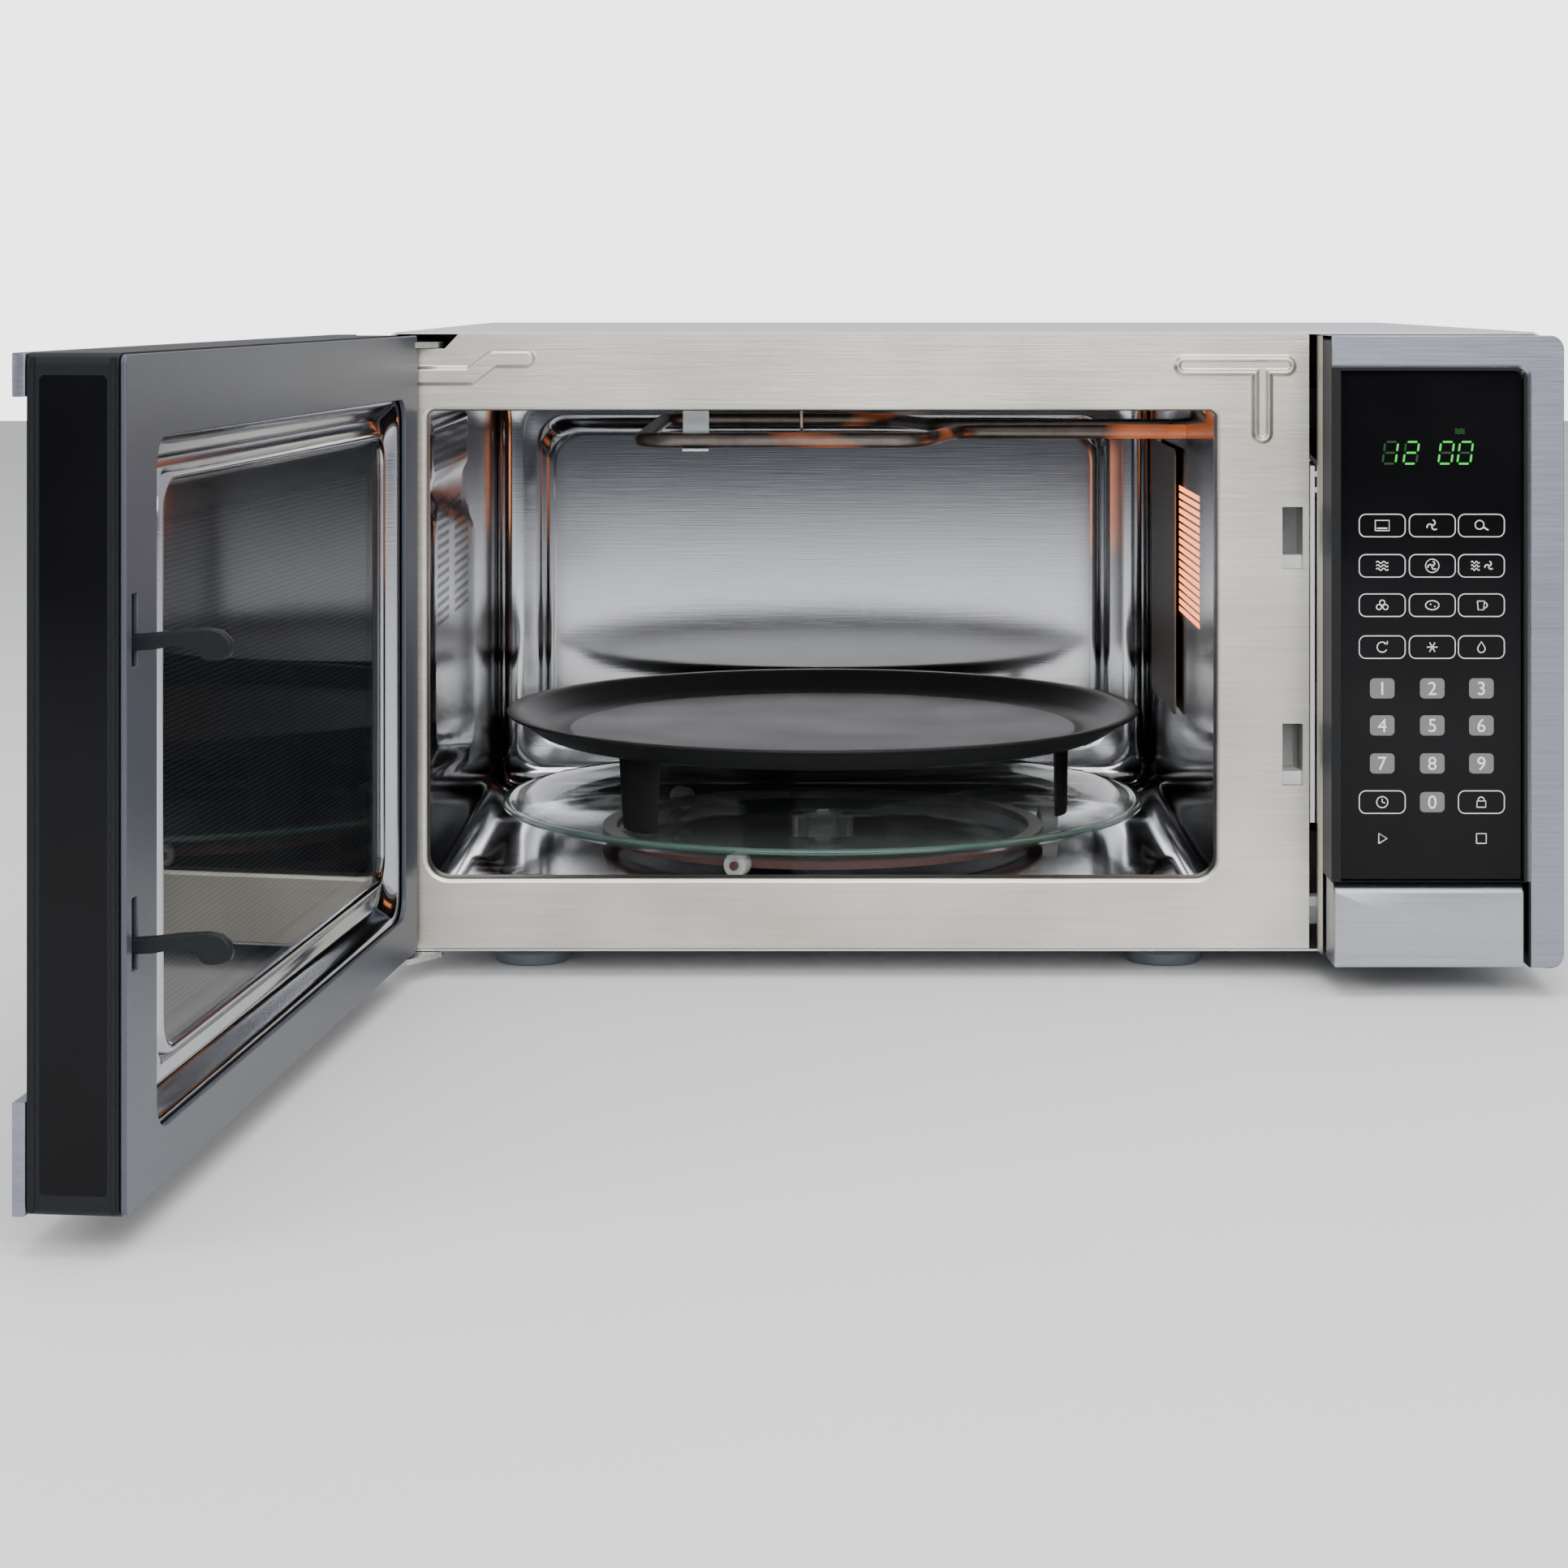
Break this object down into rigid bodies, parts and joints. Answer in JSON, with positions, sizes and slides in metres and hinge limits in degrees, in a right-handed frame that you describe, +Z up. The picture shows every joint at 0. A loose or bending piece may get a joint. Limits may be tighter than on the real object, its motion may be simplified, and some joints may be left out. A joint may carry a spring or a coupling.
{
  "type": "microwave oven",
  "caption": "Countertop microwave oven with its side-hinged door open, showing a steel cavity with glass turntable, crisper pan and grill element beside a touch panel.",
  "frame": {"origin": "middle of the footprint with the door open, on the surface that the feet stand on", "axes": "+X to the right, +Y to the back, +Z up; the door and control panel face -Y"},
  "size_m": [0.5736, 0.8204, 0.286],
  "materials": {
    "zinc_steel": "satin galvanised",
    "painted_cover": "fine satin paint",
    "brushed_steel": "horizontal brushed",
    "polished_steel": "polished, faint brushing",
    "cool_steel": "fine brushed",
    "mica": "matt flaky sheet",
    "element": "oxidised steel sheath",
    "foot_plastic": "moulded grey",
    "black_plastic": "semi-gloss",
    "black_glass": "high gloss tinted glass",
    "circuit_board": "solder mask",
    "display": "tinted lens",
    "white_plastic": "moulded",
    "switch_plastic": "moulded",
    "magnetron_metal": "plated, with cooling fins",
    "core_steel": "varnished laminations",
    "aluminium_can": "drawn",
    "grey_plastic": "moulded",
    "lamp_ceramic": "unglazed",
    "clear_plastic": "moulded",
    "ring_plastic": "moulded, heat proof",
    "tray_glass": "clear soda-lime glass",
    "pan_coating": "black non-stick coating",
    "choke_paint": "satin blue grey",
    "black_enamel": "perforated, satin black",
    "pane_glass": "clear",
    "spring_steel": "bright wire"
  },
  "bodies": {
    "cabinet": {"base_plate": "zinc_steel", "outer_cover": "painted_cover", "rear_plate": "zinc_steel", "front_plate": "brushed_steel", "cavity_liner": "polished_steel", "upper_hinge": "zinc_steel", "lower_hinge": "zinc_steel", "waveguide_cover": "mica", "grill_element": "element", "grill_bracket": "zinc_steel", "foot_front_left": "foot_plastic", "foot_front_middle": "foot_plastic", "foot_front_right": "foot_plastic", "foot_rear_left": "foot_plastic", "foot_rear_right": "foot_plastic", "panel_housing": "black_plastic", "panel_trim": "cool_steel", "control_glass": "black_glass", "control_board": "circuit_board", "display_module": "display", "interlock_bracket": "white_plastic", "switch_primary": "switch_plastic", "switch_monitor": "switch_plastic", "switch_secondary": "switch_plastic", "waveguide": "zinc_steel", "magnetron": "magnetron_metal", "transformer": "core_steel", "hv_capacitor": "aluminium_can", "fan_shroud": "grey_plastic", "cooling_fan_motor": "core_steel", "turntable_motor": "zinc_steel", "convection_housing": "zinc_steel", "convection_heater": "element", "convection_motor": "core_steel", "oven_lamp": "lamp_ceramic", "line_filter": "circuit_board", "cord_gland": "black_plastic"},
    "door": {"door_frame": "black_plastic", "door_trim": "cool_steel", "door_glass": "black_glass", "choke_cover": "choke_paint", "door_plate": "polished_steel", "window_screen": "black_enamel", "window_pane": "pane_glass", "latch_spring": "spring_steel"},
    "latch": {"door_latch": "black_plastic"},
    "release_button": {"release_button": "cool_steel"},
    "release_slider": {"release_slider": "white_plastic"},
    "cooling_fan": {"cooling_fan": "grey_plastic"},
    "convection_fan": {"convection_fan": "aluminium_can"},
    "turntable_drive": {"drive_coupler": "clear_plastic"},
    "roller_ring": {"roller_ring": "ring_plastic"},
    "roller_a": {"roller_1": "white_plastic"},
    "roller_b": {"roller_2": "white_plastic"},
    "roller_c": {"roller_3": "white_plastic"},
    "glass_tray": {"glass_tray": "tray_glass"},
    "crisper_pan": {"crisper_pan": "pan_coating", "pan_leg_1": "pan_coating", "pan_leg_2": "pan_coating", "pan_leg_3": "pan_coating"}
  },
  "joints": [
    {"name": "door_hinge", "type": "hinge", "parent": "cabinet", "child": "door", "pos_m": [-0.21918, -0.00706, 0.15], "axis": [0, 0, -1], "range_deg": [-95.5, 14.5]},
    {"name": "latch_lift", "type": "slide", "parent": "door", "child": "latch", "axis": [0, 0, 1], "range_m": [0, 0.006], "stiffness_N_per_m": 300, "springref_m": -0.008, "deforming": ["latch_spring"]},
    {"name": "release_press", "type": "slide", "parent": "cabinet", "child": "release_button", "axis": [0, 1, 0], "range_m": [0, 0.005], "stiffness_N_per_m": 900, "springref_m": -0.003},
    {"name": "release_lift", "type": "slide", "parent": "cabinet", "child": "release_slider", "axis": [0, 0, 1], "range_m": [0, 0.006]},
    {"name": "turntable_spin", "type": "hinge", "parent": "cabinet", "child": "turntable_drive", "pos_m": [-0.03268, 0.18874, 0.036], "axis": [0, 0, 1], "continuous": true},
    {"name": "tray_lift", "type": "slide", "parent": "turntable_drive", "child": "glass_tray", "axis": [0, 0, 1], "range_m": [0, 0.05]},
    {"name": "pan_lift", "type": "slide", "parent": "glass_tray", "child": "crisper_pan", "axis": [0, 0, 1], "range_m": [0, 0.06]},
    {"name": "ring_spin", "type": "hinge", "parent": "cabinet", "child": "roller_ring", "pos_m": [-0.03268, 0.18874, 0.036], "axis": [0, 0, 1], "continuous": true},
    {"name": "roller_a_spin", "type": "hinge", "parent": "roller_ring", "child": "roller_a", "pos_m": [0.08106, 0.2088, 0.0365], "axis": [0.9848, 0.1736, 0], "continuous": true},
    {"name": "roller_b_spin", "type": "hinge", "parent": "roller_ring", "child": "roller_b", "pos_m": [-0.10692, 0.27722, 0.0365], "axis": [-0.6428, 0.766, 0], "continuous": true},
    {"name": "roller_c_spin", "type": "hinge", "parent": "roller_ring", "child": "roller_c", "pos_m": [-0.07218, 0.08021, 0.0365], "axis": [-0.342, -0.9397, 0], "continuous": true},
    {"name": "convection_fan_spin", "type": "hinge", "parent": "cabinet", "child": "convection_fan", "pos_m": [0.16512, 0.14494, 0.175], "axis": [1, 0, 0], "continuous": true},
    {"name": "cooling_fan_spin", "type": "hinge", "parent": "cabinet", "child": "cooling_fan", "pos_m": [0.21312, 0.38024, 0.1805], "axis": [0, 1, 0], "continuous": true}
  ],
  "couplings": [
    {"joint": "release_lift", "follows": "release_press", "ratio": 1.2},
    {"joint": "ring_spin", "follows": "turntable_spin", "ratio": 0.5},
    {"joint": "roller_a_spin", "follows": "turntable_spin", "ratio": -10.132},
    {"joint": "roller_b_spin", "follows": "turntable_spin", "ratio": -10.132},
    {"joint": "roller_c_spin", "follows": "turntable_spin", "ratio": -10.132}
  ]
}
